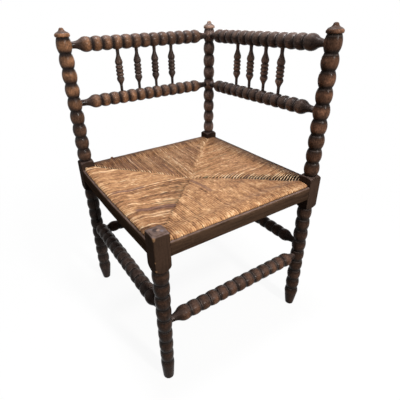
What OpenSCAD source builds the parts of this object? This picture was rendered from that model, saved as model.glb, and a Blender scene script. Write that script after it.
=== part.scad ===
// Corner chair: three tall bobbin-turned posts and one short front leg carry a square rush seat.
// Two open backs meet at the rear post. The rush is wound over four rails that are tenoned into
// the posts, and a thin strip covers its edge along each side.
// Millimetres, +Z up. The origin is on the floor, under the middle of the seat.
// The sides are numbered from the front right one, anticlockwise as seen from above:
// 0 front right, 1 back right, 2 back left, 3 front left. Post k stands between sides k - 1 and k.

/* [Overall] */
// Distance between the centres of two neighbouring posts
span = 440; // [360:1:540]
// Height of the rush at its rim
seat_h = 427; // [350:1:515]
// Height of a tall post with its knob
post_h = 785.6; // [700:0.1:950]

/* [Posts] */
// Width of the square block that takes the seat rails
block_w = 37; // [31:0.5:45]
// Length of the block above the rim of the rush, with its shoulder
block_above = 16; // [12:0.5:24]
// Length of the block below the rim of the rush, with its shoulder
block_below = 75.8; // [60:0.1:95]
// Height of the turned shoulder above the block's square part
shoulder_top_h = 7; // [5:0.5:10]
// Height of the turned shoulder below the block's square part
shoulder_low_h = 8.8; // [5:0.1:12]
// Radius of the rounded shoulders
shoulder_r = 14; // [13:1:40]
// Widest radius of the beads of the left and right posts
post_bead_r = 18.8; // [17:0.1:23]
// Widest radius of the beads of the rear post
rear_bead_r = 17.4; // [17:0.1:21]
// Depth of the grooves between the upper beads
upper_groove = 4.6; // [3:0.1:5.5]
// Depth of the grooves between the lower beads
lower_groove = 3.4; // [2:0.1:5]
// Number of beads between the block and the cap
upper_beads = 9; // [7:1:10]
// Number of beads between the foot and the block
lower_beads = 8; // [6:1:9]
// Height of the foot below the lowest groove
foot_h = 67.4; // [50:0.1:80]
// Radius of the foot near the floor
foot_r = 12; // [10:0.5:15]
// Rounding of the foot's lower edge
foot_round = 2; // [1:0.5:4]

/* [Cap and knob] */
// Thickness of the cap's rim
cap_t = 12; // [9:0.1:15]
// How far the rim stands out past the beads
cap_over = 0; // [-1:0.1:3]
// Height of the hollow sweep between rim and knob
sweep_h = 3; // [2:0.1:6]
// Radius of the sweep at its foot
sweep_r = 13.5; // [10:0.5:15]
// Radius of the sweep at the knob
sweep_top_r = 6.8; // [6.5:0.1:9]
// Radius of the knob
knob_r = 6.3; // [5.5:0.1:6.5]
// Height of the knob's centre above the sweep's end
knob_lift = 0.9; // [0.5:0.1:3]

/* [Front leg] */
// Radius of its highest bead
leg_top_bead_r = 19; // [17:0.1:21]
// Radius of its lowest bead
leg_low_bead_r = 16.6; // [15:0.1:20]
// Groove depth between its highest beads
leg_top_groove = 3; // [2:0.1:4]
// Groove depth between its lowest beads
leg_low_groove = 1.8; // [1.5:0.1:3]
// Radius of the foot near the floor
leg_foot_r = 13.5; // [11:0.5:15]
// Height of its top above the rim of the rush
leg_top_above = 19.5; // [12:0.5:24]
// Rise of the slightly domed top from the block's corners to its middle
dome_h = 1.5; // [1:0.5:12]
// Height of the turned shoulder below its block's square part
leg_shoulder_low_h = 15; // [6:0.5:17]

/* [Back rails] */
// Number of beads on a rail
rail_beads = 13; // [11:2:13]
// Post bead that takes the top rail, counted from the cap
top_rail_bead = 1; // [1:1:2]
// Post bead that takes the lower rail, counted from the cap
lower_rail_bead = 5; // [5:1:6]
// Bead radius of a top rail
top_rail_r = 18.5; // [16:0.1:21]
// Distance from a post's centre to the first bead of a top rail
top_rail_end = 40.6; // [38:0.1:48]
// Length of a top rail's bare neck beside the post
top_rail_neck = 2; // [1:0.5:9]
// Bead radius of a lower rail
lower_rail_r = 17.8; // [15:0.1:20]
// Distance from a post's centre to the first bead of a lower rail
lower_rail_end = 44.5; // [40:0.1:50]
// Length of a lower rail's bare neck beside the post
lower_rail_neck = 8; // [1:0.5:14]
// Depth of the grooves between the beads of the back rails
rail_groove = 4; // [2:0.1:5]
// How far the end beads of a back rail fall over half their length
rail_end_drop = 4.4; // [3:0.1:6]
// Radius of a back rail's neck, which is its tenon too
rail_neck_r = 8.3; // [6:0.1:8.8]
// Wood left between two tenons that meet in one post
tenon_apart = 1.5; // [1:0.1:3]

/* [Stretchers] */
// Post bead that takes the lower pair, counted down from the block
low_stretcher_bead = 5; // [5:1:6]
// Post bead that takes the higher pair, counted down from the block
high_stretcher_bead = 4; // [3:1:4]
// Bead radius of the two front stretchers
front_stretcher_r = 18.5; // [16:0.1:20]
// Bead radius of the two back stretchers
back_stretcher_r = 17.2; // [15:0.1:20]
// Depth of the grooves between the beads
stretcher_groove = 2.6; // [1.5:0.1:4]
// How far the end beads fall over half their length
stretcher_end_drop = 4.5; // [3:0.1:6]
// Distance from a post's centre to the first bead
stretcher_end = 38; // [36:0.1:46]
// Length of the bare neck beside the post
stretcher_neck = 1; // [0.5:0.5:8]
// Radius of the neck, which is the tenon too
stretcher_neck_r = 8.5; // [7:0.1:9]
// Distance from the tenon's end to the post's centre
stretcher_tip = 4; // [2:0.5:8]

/* [Spindles] */
// Widest radius of the bulbs and the three rings
spindle_r = 10.5; // [8:0.1:12]
// Radius between the rings
ring_groove_r = 7.7; // [6:0.1:8]
// Radius of the thin neck, which is the pin too
pin_r = 3.9; // [3:0.1:4.4]
// Depth of the pin in a rail
pin_depth = 10; // [6:0.5:12]

/* [Seat] */
// Thickness of the rush over a seat rail
rush_t = 5.2; // [3:0.1:8]
// Rounding of the rush over the rail's upper edge
rush_roll = 8; // [5:0.5:10]
// Drop of the rush behind the rail
rim_drop = 5.5; // [0:0.5:8]
// Further sag of the rush in the middle of the seat
sag = 13.5; // [0:0.5:15]
// Width of a seat rail
seat_rail_w = 24; // [18:0.5:30]
// Height of a seat rail
seat_rail_h = 28; // [24:0.5:34]
// Thickness of a seat rail's tenon
tenon_t = 10; // [8:0.5:12]
// Step from the rail's upper and lower face to its tenon
tenon_step = 3; // [1:0.5:5]
// Wood left between two mortises in one block
mortise_wall = 1; // [0.8:0.1:3]
// Thickness of an edge strip
strip_t = 5.5; // [3:0.1:8]
// Height of an edge strip
strip_h = 34; // [26:0.5:40]
// How far the strip's upper edge lies below the rim of the rush
strip_below = 7; // [4:0.5:12]
// How far the strip lies behind the outer face of the block
strip_set = 0.5; // [0:0.1:2]
// Rounding of the strip's upper outer edge
strip_round = 3.5; // [1:0.1:5]

/* [Fits] */
// Clearance round a glued tenon or pin
fit_gap = 0.1; // [0.05:0.05:0.3]
// Room at the end of a tenon or pin
end_gap = 0.4; // [0.2:0.1:1]
// Clearance between the rush and what it lies against
soft_gap = 0.3; // [0.2:0.1:0.5]

/* [Hidden] */

$fn = 96;
wood = "#4a2c1b";
dark_wood = "#33201a";
rush = "#b3905a";

// Side and post numbers
front_right = 0;
back_right = 1;
back_left = 2;
front_left = 3;

// Heights of the posts' sections, from the floor up
block_z = seat_h - block_below;
block_top_z = seat_h + block_above;
finial_h = cap_t + sweep_h + knob_lift + knob_r;
cap_z = post_h - finial_h;
upper_pitch = (cap_z - block_top_z) / upper_beads;
lower_pitch = (block_z - foot_h) / lower_beads;
block_corner_r = block_w / 2 * sqrt(2);
// The shoulders start just outside the block's corners and end just inside the beads' neck
block_round_r = block_corner_r + 1;
shoulder_in = 0.8;
// How far the core lies inside the grooves, the sweep starts in the rim, the foot's cone ends in its bead
core_in = 2;
sweep_in = 0.3;
foot_in = 0.5;
leg_top_z = seat_h + leg_top_above;

// Heights of what joins the posts: each member enters the middle of a bead
top_rail_z = cap_z - (top_rail_bead - 0.5) * upper_pitch;
lower_rail_z = cap_z - (lower_rail_bead - 0.5) * upper_pitch;
low_stretcher_z = block_z - (low_stretcher_bead - 0.5) * lower_pitch;
high_stretcher_z = block_z - (high_stretcher_bead - 0.5) * lower_pitch;
rail_tip = rail_neck_r + tenon_apart;

// Spindles: four, one over every second bead of the top rail
spindle_count = 4;
top_rail_pitch = (span - 2 * top_rail_end) / rail_beads;
spindle_step = 2 * top_rail_pitch;
spindle_low_z = lower_rail_z + lower_rail_r;
spindle_top_z = top_rail_z - top_rail_r;
spindle_l = spindle_top_z - spindle_low_z;
// Places along half a spindle, as shares of its bare length
ring_pitch = 0.09 * spindle_l;
bulb_at = 0.212 * spindle_l;
bulb_half = bulb_at - 1.5 * ring_pitch;
vase_at = 0.37 * spindle_l;
// How much deeper than between the rings the bulb runs out
bulb_extra = 0.7;
// How far a hollow taper starts inside the bead or bulb that it leaves
taper_in = 0.3;
// Edge cut off a tenon's or pin's end
tenon_chamfer = 1;
pin_chamfer = 0.5;

// Seat: places outward from the line between two posts' centres
strip_out = block_w / 2 - strip_set;
rush_out = strip_out - strip_t - soft_gap;
seat_rail_out = rush_out - rush_t;
tenon_in = seat_rail_out - tenon_t;
tenon_tip = tenon_in - mortise_wall;
seat_rail_top = seat_h - rush_t;
seat_rail_z = seat_rail_top - seat_rail_h;
rush_half = span / 2 + rush_out;
rush_low_z = seat_rail_z - rush_t;
rush_low_roll = 5;
under_rise = 3;
rim_run = 30;
sag_power = 3;
roll_steps = 6;
field_steps = 18;

// A length longer than the chair, for cutting shapes
far = 2 * (span + post_h);

// Value at share t between the two values of a pair
function between(pair, t) = pair[0] + (pair[1] - pair[0]) * t;

// Smooth step from 0 to 1
function ease(t) = t <= 0 ? 0 : t >= 1 ? 1 : t * t * (3 - 2 * t);

// Radius of an arc that is parallel to the axis at its widest and drops over a run
function arc_radius(run, drop) = (run * run + drop * drop) / (2 * drop);

// Outlines: x is the radius, y lies along the axis

// One bead as a full circle: it is as deep as stated where its half width ends
module bead(wide_r, depth, half_w, at) {
    arc_r = arc_radius(half_w, depth);
    translate([wide_r - arc_r, at]) circle(r = arc_r);
}

// A row of beads from y = 0 up; wide and depth are the values at its two ends
module bead_row(count, pitch, wide, depth) {
    for (i = [0 : count - 1]) {
        t = (i + 0.5) / count;
        bead(between(wide, t), between(depth, t), pitch / 2, (i + 0.5) * pitch);
    }
}

// Foot: one more bead that runs out into a taper with a rounded lower edge
module foot_outline(bead_r, depth, tip_r) {
    middle = foot_h - lower_pitch / 2;
    bead(bead_r, depth, lower_pitch / 2, middle);
    polygon([[0, foot_round], [tip_r, foot_round], [bead_r - foot_in, middle], [0, middle]]);
    translate([tip_r - foot_round, foot_round]) circle(r = foot_round);
    square([tip_r - foot_round, middle]);
}

// Cap with its rim, hollow sweep and knob, from y = 0 up
module finial_outline(rim_r) {
    sweep_arc = arc_radius(sweep_r - sweep_top_r, sweep_h);
    sweep_at = cap_t - sweep_in;
    bead(rim_r, rim_r - sweep_r, cap_t / 2, cap_t / 2);
    difference() {
        translate([0, cap_t / 2]) square([sweep_r, sweep_at + sweep_h - cap_t / 2]);
        translate([sweep_r, sweep_at + sweep_arc]) circle(r = sweep_arc);
    }
    translate([0, cap_t + sweep_h + knob_lift]) circle(r = knob_r);
}

// Revolves what is drawn, without what lies past the axis or outside the two heights.
// The turn starts where no bore or mortise will be.
module turned(low, high) {
    rotate([0, 0, 200]) rotate_extrude() intersection() {
        union() children();
        translate([0, low]) square([2 * block_w, high - low]);
    }
}

// Arc from just outside the block's corner in to the neck, as a slice between two heights
module shoulder(corner_z, neck_z, neck_r) {
    mid = [(block_round_r + neck_r) / 2, (corner_z + neck_z) / 2];
    chord = [neck_r - block_round_r, neck_z - corner_z];
    chord_l = norm(chord);
    rise = sqrt(shoulder_r * shoulder_r - chord_l * chord_l / 4);
    up = neck_z > corner_z ? 1 : -1;
    centre = mid - up * rise / chord_l * [chord[1], -chord[0]];
    intersection() {
        translate(centre) circle(r = shoulder_r);
        translate([0, min(corner_z, neck_z)]) square([block_round_r, abs(neck_z - corner_z)]);
    }
}

// Square block of a tall post, turned round at both ends
module block(top_neck_r, low_neck_r) {
    square_z = block_z + shoulder_low_h;
    square_top_z = block_top_z - shoulder_top_h;
    intersection() {
        translate([-block_w / 2, -block_w / 2, block_z]) cube([block_w, block_w, block_top_z - block_z]);
        rotate([0, 0, 200]) rotate_extrude() {
            shoulder(square_top_z, block_top_z, top_neck_r - shoulder_in);
            translate([0, square_z]) square([block_round_r, square_top_z - square_z]);
            shoulder(square_z, block_z, low_neck_r - shoulder_in);
        }
    }
}

// Square block of the front leg, with a low domed top
module domed_block(low_neck_r) {
    square_z = block_z + leg_shoulder_low_h;
    dome_r = arc_radius(block_corner_r, dome_h);
    intersection() {
        translate([-block_w / 2, -block_w / 2, block_z]) cube([block_w, block_w, leg_top_z - block_z]);
        rotate([0, 0, 200]) rotate_extrude() {
            intersection() {
                translate([0, leg_top_z - dome_r]) circle(r = dome_r);
                translate([0, square_z]) square([block_round_r, leg_top_z - square_z]);
            }
            shoulder(square_z, block_z, low_neck_r - shoulder_in);
        }
    }
}

// Round hole along +X from near the post's centre out through its side
module bore(z, tip, r) {
    start = tip - end_gap;
    translate([start, 0, z]) rotate([0, 90, 0]) cylinder(r = r + fit_gap, h = block_w);
}

// The same hole along +Y
module bore_y(z, tip, r) {
    mirror([1, -1, 0]) bore(z, tip, r);
}

// Mortise along +X for a seat rail's tenon, which lies toward the outside of the block
module mortise() {
    tip = -tenon_tip - end_gap;
    translate([tip, -seat_rail_out - fit_gap, seat_rail_z + tenon_step - fit_gap])
        cube([block_w, tenon_t + 2 * fit_gap, seat_rail_h - 2 * tenon_step + 2 * fit_gap]);
}

// Mortises for the two seat rails, bores for the two stretchers
module seat_joints(x_stretcher_z, y_stretcher_z) {
    mortise();
    mirror([1, -1, 0]) mortise();
    bore(x_stretcher_z, stretcher_tip, stretcher_neck_r);
    bore_y(y_stretcher_z, stretcher_tip, stretcher_neck_r);
}

// Tall post round its own axis
module tall_post(bead_r) {
    core_r = bead_r - upper_groove - core_in;
    turned(0, post_h) {
        foot_outline(bead_r, lower_groove, foot_r);
        translate([0, foot_h])
            bead_row(lower_beads, lower_pitch, [bead_r, bead_r], [lower_groove, lower_groove]);
        translate([0, foot_h]) square([core_r, cap_z + cap_t - foot_h]);
        translate([0, block_top_z])
            bead_row(upper_beads, upper_pitch, [bead_r, bead_r], [upper_groove, upper_groove]);
        translate([0, cap_z]) finial_outline(bead_r + cap_over);
    }
    block(bead_r - upper_groove, bead_r - lower_groove);
}

// Puts what is drawn for a post at its corner: side k runs along +X there and side k - 1 along +Y
module at_post(k) {
    rotate([0, 0, 90 * k]) translate([-span / 2, -span / 2, 0]) children();
}

// Puts what is drawn along X at a side, with -Y outward
module at_side(k) {
    rotate([0, 0, 90 * k]) translate([0, -span / 2, 0]) children();
}

module rear_post() {
    color(wood) at_post(back_left) difference() {
        tall_post(rear_bead_r);
        seat_joints(low_stretcher_z, high_stretcher_z);
        for (z = [top_rail_z, lower_rail_z]) {
            bore(z, rail_tip, rail_neck_r);
            bore_y(z, rail_tip, rail_neck_r);
        }
    }
}

module right_post() {
    color(wood) at_post(back_right) difference() {
        tall_post(post_bead_r);
        seat_joints(high_stretcher_z, low_stretcher_z);
        for (z = [top_rail_z, lower_rail_z]) bore(z, rail_tip, rail_neck_r);
    }
}

module left_post() {
    color(wood) at_post(front_left) difference() {
        tall_post(post_bead_r);
        seat_joints(high_stretcher_z, low_stretcher_z);
        for (z = [top_rail_z, lower_rail_z]) bore_y(z, rail_tip, rail_neck_r);
    }
}

module front_leg() {
    top_r = leg_top_bead_r - leg_top_groove;
    color(wood) at_post(front_right) difference() {
        union() {
            turned(0, block_z + leg_shoulder_low_h) {
                foot_outline(leg_low_bead_r, leg_low_groove, leg_foot_r);
                translate([0, foot_h])
                    bead_row(lower_beads, lower_pitch,
                        [leg_low_bead_r, leg_top_bead_r], [leg_low_groove, leg_top_groove]);
                translate([0, foot_h]) square([top_r - core_in, block_z + leg_shoulder_low_h - foot_h]);
            }
            domed_block(top_r);
        }
        seat_joints(low_stretcher_z, high_stretcher_z);
    }
}

// Solid from y = from that is hollow toward the outside between y = low, where it is as wide as stated,
// and the neck at y = high
module hollow_taper(wide_r, from, low, neck_r, high) {
    arc_r = arc_radius(high - low, wide_r - neck_r);
    difference() {
        translate([0, from]) square([wide_r, high - from]);
        translate([neck_r + arc_r, high]) circle(r = arc_r);
    }
}

// Neck and tenon with a chamfered tip, over a core that reaches down to y = 0
module neck_outline(neck_r, neck_at, tip_at, chamfer) {
    core_r = neck_r - chamfer;
    polygon([
        [0, 0], [core_r, 0], [core_r, neck_at],
        [neck_r, neck_at], [neck_r, tip_at - chamfer], [core_r, tip_at], [0, tip_at]
    ]);
}

// Beaded rail along X between two posts; tip is the distance of its ends from the posts' centres.
// Its end beads are rounder: they fall by end_drop over half their length. A hollow taper leads to the neck.
module beaded_rail(bead_r, groove, end_drop, end, neck, neck_r, tip) {
    pitch = (span - 2 * end) / rail_beads;
    last = (rail_beads - 1) / 2 * pitch;
    neck_at = span / 2 - post_bead_r - neck;
    tip_at = span / 2 - tip;
    rotate([0, 90, 0]) turned(-tip_at, tip_at) {
        for (i = [1 : rail_beads - 2]) bead(bead_r, groove, pitch / 2, i * pitch - last);
        for (m = [0, 1]) mirror([0, m]) {
            bead(bead_r, end_drop, pitch / 2, last);
            hollow_taper(bead_r - end_drop - taper_in, last, last + pitch / 2, neck_r, neck_at);
            neck_outline(neck_r, neck_at, tip_at, tenon_chamfer);
        }
    }
}

// Place of spindle i, from 1 to 4, along its back
function spindle_x(i) = (i - (spindle_count + 1) / 2) * spindle_step;

module top_rail(k) {
    color(wood) at_side(k) translate([0, 0, top_rail_z]) difference() {
        beaded_rail(top_rail_r, rail_groove, rail_end_drop, top_rail_end, top_rail_neck,
            rail_neck_r, rail_tip);
        for (i = [1 : spindle_count])
            translate([spindle_x(i), 0, -far - top_rail_r + pin_depth + end_gap])
                cylinder(r = pin_r + fit_gap, h = far);
    }
}

module lower_rail(k) {
    color(wood) at_side(k) translate([0, 0, lower_rail_z]) difference() {
        beaded_rail(lower_rail_r, rail_groove, rail_end_drop, lower_rail_end, lower_rail_neck,
            rail_neck_r, rail_tip);
        for (i = [1 : spindle_count])
            translate([spindle_x(i), 0, lower_rail_r - pin_depth - end_gap])
                cylinder(r = pin_r + fit_gap, h = far);
    }
}

// Half of a spindle's outline above its middle: bulb, hollow vase, neck and pin
module spindle_half() {
    bulb_drop = spindle_r - ring_groove_r + bulb_extra;
    bead(spindle_r, bulb_drop, bulb_half, bulb_at);
    square([ring_groove_r - bulb_extra, bulb_at]);
    hollow_taper(spindle_r - bulb_drop - taper_in, bulb_at, bulb_at + bulb_half, pin_r, vase_at);
    neck_outline(pin_r, vase_at, spindle_l / 2 + pin_depth, pin_chamfer);
}

module spindle(k, i) {
    end = spindle_l / 2 + pin_depth;
    color(wood) at_side(k) translate([spindle_x(i), 0, (spindle_low_z + spindle_top_z) / 2])
        turned(-end, end) {
            for (j = [-1 : 1]) bead(spindle_r, spindle_r - ring_groove_r, ring_pitch / 2, j * ring_pitch);
            for (m = [0, 1]) mirror([0, m]) spindle_half();
        }
}

module stretcher(k, z, bead_r) {
    color(wood) at_side(k) translate([0, 0, z])
        beaded_rail(bead_r, stretcher_groove, stretcher_end_drop, stretcher_end, stretcher_neck,
            stretcher_neck_r, stretcher_tip);
}

// Seat rail with a tenon at each end that is flush with its outer face
module seat_rail(k) {
    shoulder_at = span / 2 - block_w / 2 - fit_gap;
    tip_at = span / 2 + tenon_tip;
    color(dark_wood) at_side(k) {
        translate([-shoulder_at, -seat_rail_out, seat_rail_z])
            cube([2 * shoulder_at, seat_rail_w, seat_rail_h]);
        translate([-tip_at, -seat_rail_out, seat_rail_z + tenon_step])
            cube([2 * tip_at, tenon_t, seat_rail_h - 2 * tenon_step]);
    }
}

// Thin strip between two blocks, with its upper outer edge rounded
module edge_strip(k) {
    strip_l = span - block_w - 2 * fit_gap;
    color(wood) at_side(k) translate([0, -strip_out, seat_h - strip_below - strip_h])
        rotate([90, 0, 90]) linear_extrude(height = strip_l, center = true) difference() {
            square([strip_t, strip_h]);
            translate([0, strip_h - strip_round]) difference() {
                square(strip_round);
                translate([strip_round, 0]) circle(r = strip_round);
            }
        }
}

// Height of the rush at distance u inward from its outer face
function rush_top(u) =
    seat_h - rim_drop * ease((u - seat_rail_w) / rim_run) - sag * pow(u / rush_half, sag_power);
function rush_under(u) =
    rush_low_z + under_rise * (ease((u - seat_rail_w) / rim_run) - pow(u / rush_half, sag_power));

// Section of one field of the rush: x is the distance from the middle of the seat, y the height
function field_top() = [
    for (i = [0 : field_steps])
        let (u = rush_half - i / field_steps * (rush_half - rush_roll)) [rush_half - u, rush_top(u)]
];
function roll_top() = [
    for (i = [1 : roll_steps])
        let (a = 90 - 90 * i / roll_steps)
            [rush_half - rush_roll + rush_roll * cos(a), seat_h - rush_roll + rush_roll * sin(a)]
];
function roll_under() = [
    for (i = [0 : roll_steps - 1])
        let (a = -90 * i / roll_steps)
            [rush_half - rush_low_roll + rush_low_roll * cos(a),
             rush_low_z + rush_low_roll + rush_low_roll * sin(a)]
];
function field_under() = [
    for (i = [0 : field_steps])
        let (u = rush_low_roll + i / field_steps * (rush_half - rush_low_roll))
            [rush_half - u, rush_under(u)]
];

// One field: the section drawn along its side, cut off at the two diagonals
module rush_field() {
    intersection() {
        rotate([90, 0, -90]) linear_extrude(height = 2 * rush_half, center = true)
            polygon(concat(field_top(), roll_top(), roll_under(), field_under()));
        linear_extrude(height = far)
            polygon([[0, 0], [-rush_half, -rush_half], [rush_half, -rush_half]]);
    }
}

// Room in the rush for a seat rail
module rail_room() {
    translate([-rush_half, -seat_rail_out - soft_gap, seat_rail_z - soft_gap])
        cube([2 * rush_half, seat_rail_w + 2 * soft_gap, seat_rail_h + 2 * soft_gap]);
}

// Corner of the seat that a post's block takes up, out past the rush
module corner_room() {
    inner = block_w / 2 + soft_gap;
    translate([inner - block_w, inner - block_w, block_z]) cube([block_w, block_w, block_top_z - block_z]);
}

module rush_seat() {
    color(rush) difference() {
        for (k = [0 : 3]) rotate([0, 0, 90 * k]) rush_field();
        for (k = [0 : 3]) {
            at_side(k) rail_room();
            at_post(k) corner_room();
        }
    }
}

rear_post();
left_post();
right_post();
front_leg();
top_rail(back_left);  // top_rail_left
top_rail(back_right);  // top_rail_right
lower_rail(back_left);  // lower_rail_left
lower_rail(back_right);  // lower_rail_right
spindle(back_left, 1);  // spindle_left_1
spindle(back_left, 2);  // spindle_left_2
spindle(back_left, 3);  // spindle_left_3
spindle(back_left, 4);  // spindle_left_4
spindle(back_right, 1);  // spindle_right_1
spindle(back_right, 2);  // spindle_right_2
spindle(back_right, 3);  // spindle_right_3
spindle(back_right, 4);  // spindle_right_4
stretcher(front_right, low_stretcher_z, front_stretcher_r);  // stretcher_front_right
stretcher(back_right, high_stretcher_z, back_stretcher_r);  // stretcher_back_right
stretcher(back_left, low_stretcher_z, back_stretcher_r);  // stretcher_back_left
stretcher(front_left, high_stretcher_z, front_stretcher_r);  // stretcher_front_left
seat_rail(front_right);  // seat_rail_front_right
seat_rail(back_right);  // seat_rail_back_right
seat_rail(back_left);  // seat_rail_back_left
seat_rail(front_left);  // seat_rail_front_left
edge_strip(front_right);  // edge_strip_front_right
edge_strip(back_right);  // edge_strip_back_right
edge_strip(back_left);  // edge_strip_back_left
edge_strip(front_left);  // edge_strip_front_left
rush_seat();
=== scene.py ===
"""Looks of the bobbin-turned corner chair: turned members with their wear, edge strips and woven rush."""

import math
import random

import bpy
import numpy as np
from mathutils import Matrix, Vector


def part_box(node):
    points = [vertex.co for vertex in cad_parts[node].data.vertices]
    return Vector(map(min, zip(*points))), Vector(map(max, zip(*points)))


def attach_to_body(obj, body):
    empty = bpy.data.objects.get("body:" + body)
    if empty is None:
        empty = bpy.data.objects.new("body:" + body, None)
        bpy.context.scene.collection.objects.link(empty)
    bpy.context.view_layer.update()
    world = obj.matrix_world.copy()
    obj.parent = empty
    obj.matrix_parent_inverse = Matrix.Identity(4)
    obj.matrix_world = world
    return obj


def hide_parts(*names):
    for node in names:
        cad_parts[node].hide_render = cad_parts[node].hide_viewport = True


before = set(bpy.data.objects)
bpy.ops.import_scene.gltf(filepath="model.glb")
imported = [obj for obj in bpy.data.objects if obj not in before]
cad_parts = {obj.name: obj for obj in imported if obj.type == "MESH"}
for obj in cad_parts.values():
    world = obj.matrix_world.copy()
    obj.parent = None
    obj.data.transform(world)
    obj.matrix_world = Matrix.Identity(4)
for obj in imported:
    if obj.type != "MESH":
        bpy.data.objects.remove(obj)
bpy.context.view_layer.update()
scene = bpy.context.scene
BODY = "chair"
MM = 0.001


def box_mm(node):
    """Lowest and highest corner of a CAD node, in millimetres."""
    return [[v / MM for v in corner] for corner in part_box(node)]


# Driving sizes in millimetres: first those read from the part, then those named here, as in the part
POST_BOX = box_mm("left_post")
LEG_BOX = box_mm("front_leg")
RUSH_BOX = box_mm("rush_seat")
STRIP_BOX = box_mm("edge_strip_front_right")
SPAN = -(POST_BOX[0][0] + POST_BOX[1][0])
AXIS = SPAN / 2
POST_H = POST_BOX[1][2]
LEG_TOP_Z = LEG_BOX[1][2]
BLOCK_W = LEG_BOX[1][0] - LEG_BOX[0][0]
SEAT_H = RUSH_BOX[1][2]
RUSH_LOW_Z = RUSH_BOX[0][2]
RUSH_HALF = RUSH_BOX[1][0]
BLOCK_Z = SEAT_H - 75.8
BLOCK_TOP_Z = SEAT_H + 16.0
SHOULDER_LOW_H = 8.8
LEG_SHOULDER_H = 15.0
SHOULDER_TOP_H = 7.0
LEG_DOME = 1.5
FOOT_H = 67.4
UPPER_BEADS = 9
LOWER_BEADS = 8
CAP_Z = POST_H - 22.2
UPPER_PITCH = (CAP_Z - BLOCK_TOP_Z) / UPPER_BEADS
LOWER_PITCH = (BLOCK_Z - FOOT_H) / LOWER_BEADS
UPPER_GROOVE = 4.6
LOWER_GROOVE = 3.4
TOP_RAIL_Z = CAP_Z - 0.5 * UPPER_PITCH
LOWER_RAIL_Z = CAP_Z - 4.5 * UPPER_PITCH
LOW_STRETCHER_Z = BLOCK_Z - 4.5 * LOWER_PITCH
HIGH_STRETCHER_Z = BLOCK_Z - 3.5 * LOWER_PITCH
RAIL_BEADS = 13
TOP_RAIL_END = 40.6
TOP_RAIL_R = 18.5
LOWER_RAIL_R = 17.8
STRIP_T = 5.5
STRIP_OUT = -STRIP_BOX[0][1] - AXIS
STRIP_ROUND = 3.5

# Radii in millimetres: of the beads that the rails meet, of the feet, and of the leg's lowest and top
# bead with the depth of their grooves; then how far the leg's top edges are worn round
POST_BEAD_R = 18.8
POST_FOOT_R = 12.0
LEG_FOOT_R = 13.5
LEG_LOW_R, LEG_HIGH_R = 16.6, 19.0
LEG_LOW_GROOVE, LEG_HIGH_GROOVE = 1.8, 3.0
LEG_ROUND = 3.4
# A spindle's middle, the swell of its rings, and its bulbs and pins
SPINDLE_R = 7.7
RING_SWELL = 2.9
BULB_R = 10.5
PIN_R = 3.9
PIN_LONG = 10.0

# Place of each post's axis
CORNER = {
    "front_leg": (-AXIS, -AXIS),
    "right_post": (AXIS, -AXIS),
    "rear_post": (AXIS, AXIS),
    "left_post": (-AXIS, AXIS),
}
# Sides by number: 0 front right, 1 back right, 2 back left, 3 front left
SIDE_NAMES = ["front_right", "back_right", "back_left", "front_left"]


def ease(t):
    t = min(max(t, 0.0), 1.0)
    return t * t * (3 - 2 * t)


def side_turn(k):
    """Rotation from a side's own frame, where it runs along X at y = -AXIS, to the chair."""
    return Matrix.Rotation(math.radians(90 * k), 4, "Z")


# Camera, fitted to the photograph: focal length, centre and frame in pixels, then angles in degrees

FOCAL, CENTRE_X, CENTRE_Y, FRAME = 333.53, 187.13, 197.07, 400.0
YAW, PITCH, ROLL = 58.141, 29.107, -1.634
CAMERA_AT = (-0.4482, -0.7007, 0.8120)
SENSOR = 36.0


def add_camera():
    yaw, pitch, roll = (math.radians(a) for a in (YAW, PITCH, ROLL))
    level = math.cos(pitch)
    forward = Vector((math.cos(yaw) * level, math.sin(yaw) * level, -math.sin(pitch)))
    right = Vector((math.sin(yaw), -math.cos(yaw), 0.0))
    up = right.cross(forward)
    turned_right = math.cos(roll) * right + math.sin(roll) * up
    turned_up = -math.sin(roll) * right + math.cos(roll) * up
    data = bpy.data.cameras.new("camera")
    data.sensor_width = SENSOR
    data.lens = SENSOR * FOCAL / FRAME
    data.shift_x = (FRAME / 2 - CENTRE_X) / FRAME
    data.shift_y = (CENTRE_Y - FRAME / 2) / FRAME
    cam = bpy.data.objects.new("camera", data)
    axes = Matrix((turned_right, turned_up, -forward)).transposed()
    cam.matrix_world = Matrix.Translation(Vector(CAMERA_AT)) @ axes.to_4x4()
    scene.collection.objects.link(cam)
    bpy.context.scene.camera = cam


# Node helpers

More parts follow.
